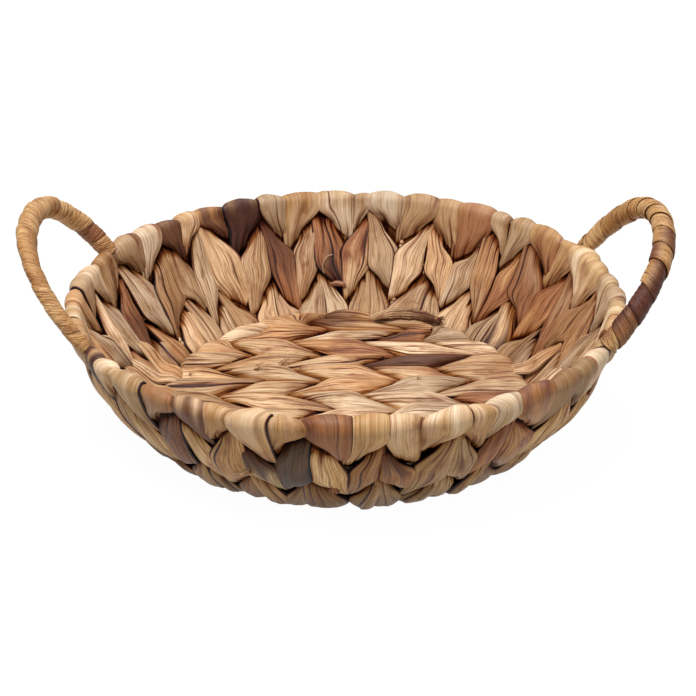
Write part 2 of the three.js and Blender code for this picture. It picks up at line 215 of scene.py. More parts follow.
class StageSizes(bpy.types.PropertyGroup):
    floor_size: length("Floor size", "Side of the plain floor", 12000)
    floor_colour: colour("Floor", "Colour of the plain floor", "#c9c6c0")
    camera_distance: length("Camera distance", "From the camera to the point that it looks at", 1300)
    camera_elevation: angle("Camera elevation", "Angle above the horizon", 26)
    camera_lens: FloatProperty(name="Lens", description="Focal length in millimetres", default=107.05)


# Lines and sections

class WallArc:
    """The wall's outline: one arc through the base ring and the rim ring, bowed out of its chord."""

    def __init__(self, s):
        foot = np.array([s.base_radius, s.base_height])
        head = np.array([s.rim_radius, s.rim_height])
        size = np.hypot(*(head - foot))
        self.along = (head - foot) / size
        self.outward = np.array([self.along[1], -self.along[0]])
        self.radius = (size ** 2 / 4 + s.wall_bow ** 2) / (2 * s.wall_bow)
        self.centre = (foot + head) / 2 + self.outward * (s.wall_bow - self.radius)
        self.half = self.radius * math.asin(size / (2 * self.radius))

    def point(self, along, out, azimuth):
        """A point so far along the arc from its middle, moved out of it and turned to its azimuth."""
        turn, reach = along / self.radius, self.radius + out
        r, z = (self.centre[i] + reach * (np.cos(turn) * self.outward[i] + np.sin(turn) * self.along[i])
                for i in (0, 1))
        return np.stack([r * np.cos(azimuth), r * np.sin(azimuth), z + 0 * azimuth], -1)


def smooth(low, high, value):
    """Rises from 0 at low to 1 at high along a cubic."""
    t = np.clip((value - low) / (high - low), 0, 1)
    return t * t * (3 - 2 * t)


def ribs(v, count, phase):
    """Rounded ribs with sharp furrows: 0 in a furrow and 1 on a rib, a root of a sine's size."""
    return np.abs(np.sin(np.pi * (count * v / 2 + phase))) ** 0.45


def tapered(count, start=0.25, end=0.25):
    """Swells from one end and shrinks to the other, as the root of a sine does."""
    share = np.linspace(0, 1, count)
    return np.maximum(np.sqrt(np.sin(np.pi * share) + 1e-6), np.where(share < 0.5, start, end))


def unit(vectors):
    """Vectors divided by their lengths."""
    return vectors / np.linalg.norm(vectors, axis=-1, keepdims=True)


def tangents(path, closed=False):
    """Directions along a path, each from the point before to the point after."""
    return unit(np.roll(path, -1, 0) - np.roll(path, 1, 0) if closed else np.gradient(path, axis=0))


def distance_run(path):
    """Distance from a path's start to each of its points, summed step by step."""
    return np.concatenate([[0], np.cumsum(np.linalg.norm(np.diff(path, axis=0), axis=1))])


def both_faces(n):
    """Across one face of a flat strip and back on the other: v, which lies in -1 to 1, and the face."""
    v = np.concatenate([np.linspace(1, -1, n), np.linspace(-1, 1, n)[1:-1]])
    return v[None, :], np.concatenate([np.ones(n), -np.ones(n - 2)])[None, :]


def bent(points, count):
    """A Bezier curve over its control points."""
    points = np.asarray(points, float)
    t, last = np.linspace(0, 1, count)[:, None], len(points) - 1
    return sum(math.comb(last, k) * t ** k * (1 - t) ** (last - k) * points[k] for k in range(last + 1))


def through(points, count):
    """A Catmull-Rom curve through its points."""
    points = np.asarray(points, float)
    points = np.concatenate([[2 * points[0] - points[1]], points, [2 * points[-1] - points[-2]]])
    place = np.linspace(0, len(points) - 3 - 1e-9, count)
    k = place.astype(int)
    t = (place - k)[:, None]
    a, b, c, d = (points[k + step] for step in range(4))
    return 0.5 * (2 * b + (c - a) * t + (2 * a - 5 * b + 4 * c - d) * t ** 2
                  + (3 * b - a - 3 * c + d) * t ** 3)


def carried_oval(path, wide, thick, guide, turn, rib=1.0, closed=False):
    """Points of an oval section carried along a path: half sizes times cosine and sine of turn.

    Its width lies the way that guide points, and its outline is scaled by rib.
    """
    tangent = tangents(path, closed)
    guide = np.broadcast_to(np.asarray(guide, float), path.shape)
    across = unit(guide - (guide * tangent).sum(1)[:, None] * tangent)
    normal = np.cross(tangent, across)
    wide, thick = (np.broadcast_to(value, (len(path),))[:, None, None] for value in (wide, thick))
    section = (across[:, None, :] * wide * np.cos(turn)[None, :, None]
               + normal[:, None, :] * thick * np.sin(turn)[None, :, None])
    return path[:, None, :] + np.asarray(rib)[..., None] * section


def tube(path, radius, sides, guide=(0.0, 0.0, 1.0), closed=False):
    """A round section carried along a path: an oval whose half sizes are both its radius."""
    turn = 2 * np.pi * np.arange(sides) / sides - np.pi / 2
    return {"points": carried_oval(path, radius, radius, guide, turn, closed=closed), "closed": closed}


def loose_stem(path, wide, thick, guide, tones, seed, closed=False, sides=20, ribbed=5, depth=0.16,
               groove_shade=1.0):
    """A piece of stem on its own: a flat oval with ribs, carried along a path.

    wide and thick are its half sizes, guide the way that its width lies. Its outline sinks between
    its ribs by depth, and painted shade darkens it there. Its tone blends from one end to the other,
    and a last factor darkens it along the way as painted shade in the grooves of a wound strip.
    """
    turn = 2 * np.pi * np.arange(sides) / sides
    rib = ribs(turn / np.pi, ribbed, seed)[None, :]
    run = distance_run(path)[:, None] + 0 * rib
    near, far = (np.array(linear(code)) for code in tones)
    return {"points": carried_oval(path, wide, thick, guide, turn, 1 - depth * (1 - rib), closed),
            "closed": closed, "tint": near + (far - near) * smooth(0, 1, run / run[-1])[..., None],
            "run": np.stack([turn * np.mean(wide) + 0 * run, run, 0 * run + 7 * seed], -1),
            # Painted shade between the ribs, and along the grooves of a wound strip
            "relief": np.asarray(groove_shade)[..., None] * (1 - 3 * depth * (1 - rib)) + 0 * run,
            "depth_shade": 0.8 + 0 * run}


# Meshes

def shell_arrays(shell):
    """Vertices, quads and end fans of one carried section, with its faces pointing outwards."""
    points = shell["points"]
    rows, columns = points.shape[:2]
    i, k = np.meshgrid(np.arange(rows if shell["closed"] else rows - 1), np.arange(columns),
                       indexing="ij")
    j, m = (i + 1) % rows * columns, (k + 1) % columns
    quads = np.stack([i * columns + k, i * columns + m, j + m, j + k], -1).reshape(-1, 4)
    vertices = points.reshape(-1, 3)
    fans = np.zeros((0, 3), int)
    if not shell["closed"]:
        k, last = np.arange(columns), (rows - 1) * columns
        first = np.stack([0 * k + len(vertices), (k + 1) % columns, k], -1)
        final = np.stack([0 * k + len(vertices) + 1, last + k, last + (k + 1) % columns], -1)
        fans = np.concatenate([first, final])
        vertices = np.concatenate([vertices, points[[0, -1]].mean(1)])
    a, b, c, d = (vertices[quads[:, q]] for q in range(4))
    e, f, g = (vertices[fans[:, q]] for q in range(3))
    volume = sum(np.einsum("ij,ij->", x, np.cross(y, z))
                 for x, y, z in ((a, b, c), (a, c, d), (e, f, g)))
    return (vertices, quads, fans) if volume > 0 else (vertices, quads[:, ::-1], fans[:, ::-1])


def with_poles(shell, values):
    """Values of the grid's points, with a mean for each end's middle."""
    flat = values.reshape(-1, *values.shape[2:])
    return flat if shell["closed"] else np.concatenate([flat, values[[0, -1]].mean(1)])


def make_piece(name, shells, material, slot, *nodes):
    """One mesh object from several carried sections, riding on the basket's body."""
    vertices, loops, starts, count, loop_count = [], [], [], 0, 0
    for shell in shells:
        points, quads, fans = shell_arrays(shell)
        vertices.append(points)
        for faces in (quads, fans):
            loops.append((faces + count).ravel())
            starts.append(loop_count + np.arange(len(faces)) * faces.shape[1])
            loop_count += faces.size
        count += len(points)
    vertices, loops, starts = (np.concatenate(part) for part in (vertices, loops, starts))
    mesh = bpy.data.meshes.new(name)
    mesh.vertices.add(len(vertices))
    mesh.vertices.foreach_set("co", vertices.astype(np.float32).ravel())
    mesh.loops.add(len(loops))
    mesh.loops.foreach_set("vertex_index", loops.astype(np.int32))
    mesh.polygons.add(len(starts))
    mesh.polygons.foreach_set("loop_start", starts.astype(np.int32))
    mesh.update(calc_edges=True)
    mesh.polygons.foreach_set("use_smooth", np.ones(len(starts), bool))
    if "tint" in shells[0]:
        for key, kind, field in (("tint", "FLOAT_COLOR", "color"), ("run", "FLOAT_VECTOR", "vector"),
                                 ("relief", "FLOAT", "value"), ("depth_shade", "FLOAT", "value")):
            values = np.concatenate([with_poles(shell, shell[key]) for shell in shells])
            if key == "tint":
                values = np.concatenate([np.clip(values, 0, 1), np.ones((len(values), 1))], 1)
            layer = mesh.attributes.new("stem_" + key, kind, "POINT")
            layer.data.foreach_set(field, values.astype(np.float32).ravel())
    mesh.materials.append(material)
    piece = add_object(name, mesh)
    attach(piece, "root")
    if nodes:
        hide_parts(*nodes)


def add_object(name, data):
    """A new object around its data, in the scene."""
    thing = bpy.data.objects.new(name, data)
    bpy.context.scene.collection.objects.link(thing)
    return thing


# Materials

def add_node(tree, kind, inputs=(), out=0, stops=(), **settings):
    """Adds one node with its settings and a ramp's stops, and gives its inputs a value or a link.

    It returns the output that out names, the first if it names none.
    """
    node = tree.nodes.new("ShaderNode" + kind)
    for key, value in settings.items():
        setattr(node, key, value)
    for key, value in dict(inputs).items():
        if isinstance(value, bpy.types.NodeSocket):
            tree.links.new(value, node.inputs[key])
        else:
            node.inputs[key].default_value = value
    if stops:
        points = node.color_ramp.elements
        while len(points) < len(stops):
            points.new(0.5)
        for point, (place, value) in zip(points, stops):
            point.position = place
            point.color = (*linear(value), 1) if isinstance(value, str) else (value, value, value, 1)
    return node.outputs[out] if node.outputs else None


def new_material(name):
    """A material with an empty node tree."""
    material = bpy.data.materials.new(name)
    material.use_nodes = True
    material.node_tree.nodes.clear()
    return material, material.node_tree


# Noise drawn out along a stem: width and length of a fibre in millimetres, and detail
FIBRES = [("hair", 0.35, 14, 3), ("furrows", 0.8, 26, 1), ("folds", 1.5, 60, 1), ("streaks", 4.0, 60, 2),
          ("stains", 8.0, 26, 3), ("specks", 0.9, 3.5, 2)]


def dried_stem(name, gloss, warmth, crisp):
    """Water hyacinth, dried, flattened and twined: lengthwise fibres under a thin waxy skin.

    The skin gives a soft satin gloss, furrows between the fibres are painted dark as shade, and the
    colour drifts from straw to rust along each stem. The depth attribute is 1 on a smooth fold over
    the rim and 0 deep between the stems, and relief is 0 in a crease and low at a leaf's edge. Each
    layer below multiplies the tone: streaks, stains, patches and fine hair, then furrows, folds and
    creases painted dark as shade, specks, and painted shade deep between the stems.
    """
    material, tree = new_material(name)
    shade, run, relief, depth_shade = (
        add_node(tree, "Attribute", out=out, attribute_name="stem_" + key)
        for key, out in (("tint", "Color"), ("run", "Vector"), ("relief", "Fac"), ("depth_shade", "Fac")))
    fibres = {}
    for key, across, along, detail in FIBRES:
        stretched = add_node(tree, "Mapping", {
            "Vector": run, "Scale": (1 / (across * MM), 1 / (along * MM), 1)})
        fibres[key] = add_node(tree, "TexNoise", {
            "Vector": stretched, "Scale": 1.0, "Detail": detail, "Roughness": 0.62})
    patches = add_node(tree, "TexNoise", {
        "Vector": add_node(tree, "TexCoord", out="Object"), "Scale": 1 / (22 * MM), "Detail": 4,
        "Roughness": 0.6})
    squeezed, downy, strength, waxy, rough = (
        add_node(tree, "ValToRGB", {"Fac": factor}, stops=stops) for factor, stops in (
            (depth_shade, [(0.5, 1.0), (0.85, crisp), (0.9, crisp), (1.0, 0.3)]),
            (depth_shade, [(0.9, 1.0), (1.0, 0.5)]),
            (depth_shade, [(0.5, 0.9), (0.9, 0.65), (1.0, 0.4)]),
            (depth_shade, [(0.6, 0.05), (0.9, 0.4)]),
            (fibres["streaks"], [(0.3, gloss + 0.16), (0.7, gloss)])))
    for share, factor, stops in (
        (1.0, fibres["streaks"], [(0.3, "#e9dccd"), (0.52, 1.0), (0.7, 1.0)]),
        (1.0, fibres["stains"], [(0.58, 1.0), (0.72, "#b98f78")]),
        (1.0, patches, [(0.3, "#dac7b2"), (0.5, 1.0), (0.7, 1.0)]),
        (downy, fibres["hair"], [(0.36, "#b1967a"), (0.5, "#ebe1d4"), (0.6, 1.0)]),
        # The next two rows paint shade into fine furrows and folds
        (squeezed, fibres["furrows"], [(0.3, "#8a5226"), (0.37, "#e8d5bc"), (0.42, 1.0)]),
        (squeezed, fibres["folds"], [(0.31, "#6e300f"), (0.35, "#dabd98"), (0.38, 1.0)]),
        # Painted shade in creases, grooves and at the edges of leaves and strips
        (1.0, relief, [(0.28, "#331204"), (0.6, "#8a4f24"), (0.87, 1.0)]),
        (1.0, fibres["specks"], [(0.2, "#8b6a50"), (0.26, 1.0)]),
        # Painted shade deep between the stems
        (1.0, depth_shade, [(0.1, "#4a2711"), (0.39, "#784a28"), (0.57, "#c29c72"), (0.73, 1.0)]),
    ):
        tone = add_node(tree, "ValToRGB", {"Fac": factor}, stops=stops)
        shade = add_node(tree, "Mix", {"Factor": share, "A": shade, "B": tone}, "Result",
                         data_type="RGBA", blend_type="MULTIPLY")
    warm = add_node(tree, "Mix", {"Factor": 1.0, "A": shade, "B": (*linear(warmth), 1)}, "Result",
                    data_type="RGBA", blend_type="MULTIPLY")
    height = add_node(tree, "Math", {0: fibres["furrows"], 1: fibres["folds"]}, operation="ADD")
    height = add_node(tree, "Math", {0: fibres["hair"], 1: 0.6, 2: height}, operation="MULTIPLY_ADD")
    bump = add_node(tree, "Bump", {"Strength": strength, "Distance": 0.9 * MM, "Height": height})
    shader = add_node(tree, "BsdfPrincipled", {
        "Base Color": warm, "Roughness": rough, "IOR": 1.45, "Specular IOR Level": waxy, "Normal": bump})
    add_node(tree, "OutputMaterial", {"Surface": shader})
    return material


def drawn_steel(name, tone):
    """Mild steel wire, drawn: lengthwise die marks, a dull grey skin and faint rust freckles."""
    material, tree = new_material(name)
    place = add_node(tree, "TexCoord", out="Object")
    skin = add_node(tree, "TexNoise", {
        "Vector": place, "Scale": 1 / (1.5 * MM), "Detail": 4, "Roughness": 0.6})
    freckles = add_node(tree, "TexNoise", {
        "Vector": place, "Scale": 1 / (7 * MM), "Detail": 5, "Roughness": 0.7})
    rusty = add_node(tree, "ValToRGB", {"Fac": freckles}, stops=[(0.56, 0.0), (0.7, 0.8)])
    base = add_node(tree, "Mix", {"Factor": rusty, "A": (*tone, 1), "B": (*linear("#6d4326"), 1)},
                    "Result", data_type="RGBA")
    shader = add_node(tree, "BsdfPrincipled", {
        "Base Color": base, "Metallic": 1.0,
        "Roughness": add_node(tree, "ValToRGB", {"Fac": skin}, stops=[(0.3, 0.34), (0.7, 0.52)]),
        "Normal": add_node(tree, "Bump", {"Strength": 0.3, "Distance": 0.05 * MM, "Height": skin})})
    add_node(tree, "OutputMaterial", {"Surface": shader})
    return material


def pale_floor(name, tone):
    """A matt studio sheet, seen white by the camera while it still takes the basket's shadow."""
    material, tree = new_material(name)
    matt = add_node(tree, "BsdfDiffuse", {"Color": (*tone, 1)})
    glow = add_node(tree, "Emission", {"Color": (1, 1, 1, 1), "Strength": 1.06})
    seen = add_node(tree, "LightPath", out="Is Camera Ray")
    for ray in ("Is Glossy Ray", "Is Transmission Ray"):
        seen = add_node(tree, "Math", {0: seen, 1: add_node(tree, "LightPath", out=ray)}, operation="ADD",
                        use_clamp=True)
    share = add_node(tree, "Math", {0: seen, 1: 0.92}, operation="MULTIPLY")
    both = add_node(tree, "MixShader", {0: share, 1: matt, 2: glow})
    add_node(tree, "OutputMaterial", {"Surface": both})
    return material


# Weave

def twined_loop(wires, reach, hand, step, stray, tail=0.0, fullness=1.3):
    """Centre line of one strand doubled round its wires.

    Between two wires its distance from their plane follows a cosine, drawn through a hyperbolic
    tangent that keeps it full before it dives, and its lean to one side of the lane a sine. At both
    ends it turns back in a half circle, past a straight tail. A leaf is what lies between two
    crossings, which stand midway between the wires, or stray from there. place runs from 0 to 1
    along each leaf, and away is the face of it that points away from the wires.
    """
    spans = len(wires) - 1
    rows = []
    for i in range(spans):
        side, gap = 1 - 2 * (i % 2), wires[i + 1] - wires[i]
        count = max(8, 2 * round(gap / step / 2))
        share = np.arange(count) / count
        rows.append((wires[i] + gap * share + stray[i] * np.sin(np.pi * share) ** 2,
                     side * reach * np.tanh(fullness * np.cos(np.pi * share)) / math.tanh(fullness),
                     hand * side * np.sin(np.pi * share), i + (share >= 0.5)))
    side = 1 - 2 * (spans % 2)
    rows.append(([wires[-1]], [side * reach], [0.0], [spans]))
    if tail > 0:
        pieces = max(2, round(tail / step))
        beyond, none = tail * np.arange(1, pieces + 1) / pieces, np.zeros(pieces)
        rows.insert(0, ((wires[0] - beyond)[::-1], none + reach, none, none))
        rows.append((wires[-1] + beyond, none + side * reach, none, none + spans))
    along, out, lean, leaf = (np.concatenate(part).astype(float) for part in zip(*rows))
    folds = max(5, round(np.pi * reach / step))
    turn = np.pi * np.arange(1, folds) / folds
    none = np.zeros(folds - 1)
    parts = [
        (along, out, lean, leaf),
        (along[-1] + reach * np.sin(turn), out[-1] * np.cos(turn), none, none + spans),
        (along[::-1], -out[::-1], -lean[::-1], (2 * spans - leaf[::-1]) % (2 * spans)),
        (along[0] - reach * np.sin(turn), -out[0] * np.cos(turn), none, none),
    ]
    along, out, lean, leaf = (np.concatenate(part) for part in zip(*parts))
    start = int(np.flatnonzero(leaf == 1)[0])
    along, out, lean, leaf = (np.roll(part, -start) for part in (along, out, lean, leaf))
    leaf = leaf.astype(int)
    run = np.concatenate([[0], np.cumsum(np.hypot(np.diff(along), np.diff(out)))])
    place = np.zeros(len(run))
    for index in range(2 * spans):
        own = run[leaf == index]
        place[leaf == index] = (own - own[0]) / max(own[-1] - own[0], 1e-9)
    wire = np.where(leaf <= spans, leaf, 2 * spans - leaf)
    return SimpleNamespace(along=along, out=out, lean=lean, leaf=leaf, run=run, place=place,
                           away=1.0 - 2 * (wire % 2), leaves=2 * spans, reach=reach,
                           ends=(wires[0] - tail, wires[-1] + tail))


def leaf_choices(rng, count):
    """What differs from leaf to leaf: width, tilt, thickness, creases and tone."""
    tones, chance = np.array([linear(code) for code in TONES]), np.array(list(TONES.values()))
    shift = rng.normal(0, 0.065, count)
    first = rng.choice(len(tones), count, p=chance / chance.sum())
    chance = chance * np.array(END_WEIGHTS)
    second = rng.choice(len(tones), count, p=chance / chance.sum())
    light = np.clip(rng.normal(0.89, 0.13, (count, 1)), 0.55, 1.08)
    base = tones[first] * light
    far = (0.55 * tones[first] + 0.45 * tones[second]) * light * rng.normal(0.95, 0.06, (count, 1))
    turned = rng.random(count)[:, None] < 0.5
    return {
        "wide": np.maximum(rng.normal(0.1, 0.07, count), np.abs(shift) + 0.01), "shift": shift,
        "tilt": rng.normal(0.5, 1.2, count) * MM, "thick": rng.normal(1, 0.08, count),
        "lift": rng.normal(0.15, 0.7, count) * MM,
        "facets": rng.uniform(1.4, 3.4, count), "facet_phase": rng.random(count),
        "facet_depth": rng.uniform(0.4, 1.4, count), "ridges": rng.uniform(5, 8.5, count),
        "ridge_phase": rng.random(count), "wander": rng.uniform(-0.3, 0.3, count),
        "wander_phase": rng.random(count), "seed": rng.random(count),
        "fold_at": rng.uniform(-0.75, 0.75, count), "fold": rng.normal(0, 0.45, count) * MM,
        "fold_drift": rng.uniform(-0.35, 0.35, count), "calm": rng.uniform(0.1, 0.6, count),
        "keel_at": rng.uniform(-0.5, 0.5, count), "keel": rng.uniform(0.0, 1.3, count) * MM,
        "near": np.where(turned, far, base), "far": np.where(turned, base, far),
    }


def lane_edges(loop, lap, parting, opening):
    """Where a strand starts and ends across its lane: the whole lane and a lap over a wire, and at a
    crossing the half that it leans to, up to the crossing's parting. A few crossings stand open."""
    lean, spans = loop.lean, loop.leaves // 2
    pinch = np.abs(lean) ** 3
    ahead = np.where(loop.place < 0.5, loop.leaf - 1, loop.leaf)
    span = np.where(ahead < 0, loop.leaves - 1, ahead)
    span = np.where(span >= spans, loop.leaves - 1 - span, span)
    free = opening[span] * np.abs(lean) ** 8 - lap - 0.12 * pinch * (opening[span] == 0)
    left = np.where(lean > 0, -0.5 + (0.5 + parting[span]) * pinch - 0.05, -0.5 + free)
    right = np.where(lean < 0, 0.5 - (0.5 - parting[span]) * pinch + 0.05, 0.5 - free)
    return left, right


def leaf_ribbon(loop, w, choices, edges, place, crown, slant, smooth_rim=False):
    """A strand with a leaf's section, carried along its loop.

    Across the strand runs v from -1 to 1. Its half thickness is a rounded box of v, and its face
    away from the wires is crowned. Pleats and ribs, the root of a sine of v, gather towards each
    crossing and calm down on the hump between. One edge may lie folded over the rest, a smooth
    step of v, and a keel is a flat roof over v. A leaf's tips are drawn out on the outer side of
    the lane, by slant times the distance from the lane's middle. edges gives the shares of the
    lane at which the strand starts and ends, and place turns along, out and across into a point.
    """
    v, side = both_faces(w.points)
    away, own, t = loop.away[:, None], loop.leaf[:, None], loop.place[:, None]
    outer = side * away > 0
    shown = np.where(outer, own, np.where(t < 0.5, own - 1, own + 1) % loop.leaves)
    t = np.where(outer, t, np.where(t < 0.5, 1.0, 0.0)) + 0 * v
    pick, look = (SimpleNamespace(**{key: value[leaf] for key, value in choices.items()})
                  for leaf in (own, shown))

    # Width across the lane
    crossing = np.abs(loop.lean)[:, None]
    hump = np.sqrt(np.clip(1 - crossing ** 2, 0, 1))
    left = edges[0][:, None] - (pick.wide - pick.shift) * hump
    right = edges[1][:, None] + (pick.wide + pick.shift) * hump
    across = left + (right - left) * (v + 1) / 2

    # Pleats, ribs, fold and keel
    gather = look.calm + (1 - look.calm) * crossing ** 1.3
    wander = look.wander * np.sin(2 * np.pi * (t * 0.7 + look.wander_phase))
    patchy = 0.6 + 0.4 * np.sin(5.3 * v + 6.1 * t + 7 * look.wander_phase)
    facet = ribs(v, look.facets, look.facet_phase + wander)
    ridge = ribs(v + 0.1 * wander, look.ridges, look.ridge_phase + 0.6 * wander)
    from_fold = (v - look.fold_at - look.fold_drift * (t - 0.5)) * np.sign(look.fold)
    fold = np.abs(look.fold) * (smooth(-0.07, 0.07, from_fold) - 0.5)
    keel = look.keel * (0.4 - np.abs(v - look.keel_at - 0.3 * look.fold_drift * (t - 0.5)))
    relief = (w.facet * look.facet_depth * gather * (facet - 1)
              + w.ridge * gather * patchy * (ridge - 1) + fold + keel)

    # Points
    half = w.thickness / 2 * pick.thick * (1 + 0.15 * crossing)
    offset = away * hump * (pick.lift + pick.tilt * v - crown * (v ** 2 - 0.3))
    offset = offset + side * np.clip(1 - np.abs(v) ** 4.5, 0, 1) ** 0.5 * (half + relief)
    step_along, step_out = (np.roll(line, -1) - np.roll(line, 1) for line in (loop.along, loop.out))
    size = np.hypot(step_along, step_out)
    ahead = np.sign(t - 0.5) * np.sign(step_along)[:, None]
    beside = np.maximum(across * np.sign(loop.lean)[:, None], 0)
    slanted = ahead * slant * (0.75 + 0.35 * look.seed) * beside * crossing ** 1.2
    along = loop.along[:, None] - offset * (step_out / size)[:, None] + slanted
    out = loop.out[:, None] + offset * (step_along / size)[:, None]

    # Tone from end to end, darker at the tips as painted shade, and what tells the material where to paint
    # shade: in creases, along a folded edge, at the leaf's edges and deep between the stems
    blend = 0.3 + 0.4 * look.seed + 0.14 * np.sin(7 * v + 25 * look.seed)
    tint = look.near + (look.far - look.near) * smooth(blend - 0.25, blend + 0.25, t)[..., None]
    # Painted shade: the tips darken where they dive under other leaves
    tint = tint * (1 - np.abs(2 * t - 1)[..., None] ** 5 * np.array([0.18, 0.25, 0.3]))
    # Painted shade in the creases between facets and ribs
    crease_shade = (1 - gather * np.clip(0.4 * look.facet_depth, 0.2, 0.6) * (1 - facet)) \
        * (1 - 0.35 * gather * patchy * (1 - ridge))
    # Painted shade along the step of a folded edge
    fold_shade = np.abs(look.fold) / (0.9 * MM) * np.exp(-((from_fold + 0.06) / 0.05) ** 2)
    rim = smooth_rim & (shown == RIM)
    # Painted shade at the leaf's edges, where it meets its neighbours
    edge_shade = 1 - 0.9 * smooth(0.83 + 0.06 * rim, 0.98, np.abs(v))
    # How deep each point lies between the stems, for the painted shade there
    beyond = np.maximum(np.maximum(along - loop.ends[1], loop.ends[0] - along), 0)
    level = np.where(beyond > 0, np.hypot(out, beyond), out * np.sign(loop.out + 1e-9)[:, None])
    level = np.where(outer, level, -level) / (loop.reach + w.thickness / 2)
    return {"points": place(along, out, across), "closed": True, "tint": tint,
            "run": np.stack([v * HALF_STEM + 0 * t, loop.run[:, None] + 0 * v, look.seed * 7], -1),
            "relief": crease_shade * (1 - np.clip(fold_shade, 0, 0.85)) * edge_shade,
            "depth_shade": np.clip((level + 0.4) / 1.4, 0, 0.9) + 0.1 * rim}


def waves(azimuth, *parts):
    """A sum of sines of the azimuth, each with its size in degrees, its count and its phase."""
    return np.radians(sum(size * np.sin(count * azimuth + phase) for size, count, phase in parts))


def wall_lane(w, arc, lane, hand, rng):
    """One lane of the wall: a doubled strand round the three rings.

    The middle ring's height and both crossings stray at random. Stems aren't equally wide, so the
    lanes drift sideways by a sum of waves, and by another one where they cross the rim.
    """
    middle = rng.normal(0, 1.3) * MM
    stray = np.clip(rng.normal(0, 4.5, 2), -6.5, 6.5) * MM
    loop = twined_loop([-arc.half, middle, arc.half], w.wall_reach, hand, w.step, stray)
    choices = leaf_choices(rng, loop.leaves)
    parting = rng.normal(0, 0.1, 2)
    opening = np.array([PINHOLES.get((lane, span), 0.0) for span in (0, 1)])
    choices["calm"][RIM] *= 0.3
    choices["fold"][RIM] *= 0.4
    for (number, leaf), (wide, shift) in NARROW.items():
        if number == lane:
            choices["wide"][leaf], choices["shift"][leaf] = wide, shift
    for number, leaf, near, far in WALL_LEAVES:
        if number == lane:
            choices["near"][leaf], choices["far"][leaf] = linear(near), linear(far)
    # Painted shade darkens and dulls the leaves on the outer face; every rim leaf is also a little darker
    for end, leaves in (("near", [RIM, OUTER]), ("far", [OUTER, BASE])):
        choices[end][RIM] *= 0.85
        choices[end][leaves] *= linear(OUTSIDE_SHADE)

    def place(along, out, across):
        azimuth = (lane + across) * LANE
        drift = waves(azimuth, (0.65, 9, 1.3), (0.6, 13, 4.1), (0.55, 17, 2.2))
        over = smooth(0.6, 1.0, along / arc.half) * np.clip(out / w.wall_reach, -1, 1)
        slant = over * waves(azimuth, (0.75, 11, 0.7), (0.5, 19, 2.9))
        points = arc.point(along, out, azimuth + drift + slant)
        points[..., 2] = np.maximum(points[..., 2], 0)
        return points

    return leaf_ribbon(loop, w, choices, lane_edges(loop, 0.04, parting, opening), place, w.crown,
                       w.wall_slant, smooth_rim=True)


def floor_row(w, index, rng):
    """One row of the floor: a strand doubled round the floor wires that its whole width reaches."""
    count = len(ROWS)
    pitch = 2 * (w.floor_radius - w.floor_edge) / count
    y = (index - (count - 1) / 2) * pitch
    nose = w.floor_reach + 1.7 * MM  # From the last fold's centre to its outer face

    def row_end(place):
        return np.sqrt(np.maximum(w.floor_radius ** 2 - place ** 2, 0)) - nose

    end = float(row_end(y))
    wires = [x for x in FLOOR_WIRE_PLACES if abs(x) <= row_end(abs(y) + pitch / 2) + 1e-6]
    tail = end - wires[-1]
    again = tail > (FLOOR_WIRE_PLACES[1] - FLOOR_WIRE_PLACES[0]) / 2
    holds = [-end, *wires, end] if again else wires
    spans = len(holds) - 1
    loop = twined_loop(holds, w.floor_reach, 1 - 2 * (index % 2), w.step, rng.normal(0, 3.0, spans) * MM,
                       0.0 if again else tail, fullness=0.8)
    choices = leaf_choices(rng, loop.leaves)
    for number, x, near, far in FLOOR_LEAVES:
        if number == index + 1:
            tops = {leaf: loop.along[(loop.leaf == leaf) & (loop.out >= 0)].mean()
                    for leaf in np.unique(loop.leaf[loop.out > 0])}
            leaf = min(tops, key=lambda one: abs(tops[one] - x))
            choices["near"][leaf], choices["far"][leaf] = linear(near), linear(far)

    def place(along, out, across):
        over = y + across * pitch
        past = np.clip(np.abs(along) - wires[-1], 0, tail)
        drawn = past * (row_end(over) - end) / tail
        return np.stack([along + np.sign(along) * drawn, over + 0 * along,
                         np.maximum(w.floor_height + out, LOWEST) + 0 * across], -1)

    edges = lane_edges(loop, 0.06, rng.normal(0, 0.12, spans), np.zeros(spans))
    return leaf_ribbon(loop, w, choices, edges, place, 1.8 * w.crown, w.floor_slant)


# Padding and loose ends

def ring_padding(arc):
    """Three flat stems laid round the middle ring, side by side, each wavering by a sum of sines."""
    turn = 2 * np.pi * np.arange(320) / 320
    shells = []
    # Along the wall, outwards and half thickness, in millimetres
    for number, (along, out, thick) in enumerate(((-4.3, 0.0, 1.3), (0.0, 0.0, 2.1), (4.2, 0.1, 1.3))):
        waver = (0.5 * np.sin(7 * turn + number) + 0.35 * np.sin(16 * turn + 2 * number)) * MM
        path, upper = (arc.point(along * MM + waver + up, out * MM, turn) for up in (0, MM))
        shells.append(loose_stem(path, 2.3 * MM, thick * MM, upper - path, (TAN, TAN), 0.3 + 0.21 * number,
                                 closed=True, ribbed=8))
    return shells


def upright_sleeve(arc, azimuth, seed):
    """A narrow strip wound round an upright: a tube that swells between its turns like a sine."""
    along = np.linspace(-36, 36, 240) * MM
    swell = ribs(along / MM / 3.4, 2, seed)
    size = (1.75 + 0.3 * swell) * MM
    # The tube is painted darker where it narrows, as shade in the grooves between its turns
    return loose_stem(arc.point(along, 0.0, azimuth), size, size,
                      (-math.sin(azimuth), math.cos(azimuth), 0.0), (TAN, HONEY), seed, depth=0.02,
                      groove_shade=0.3 + 0.7 * swell)


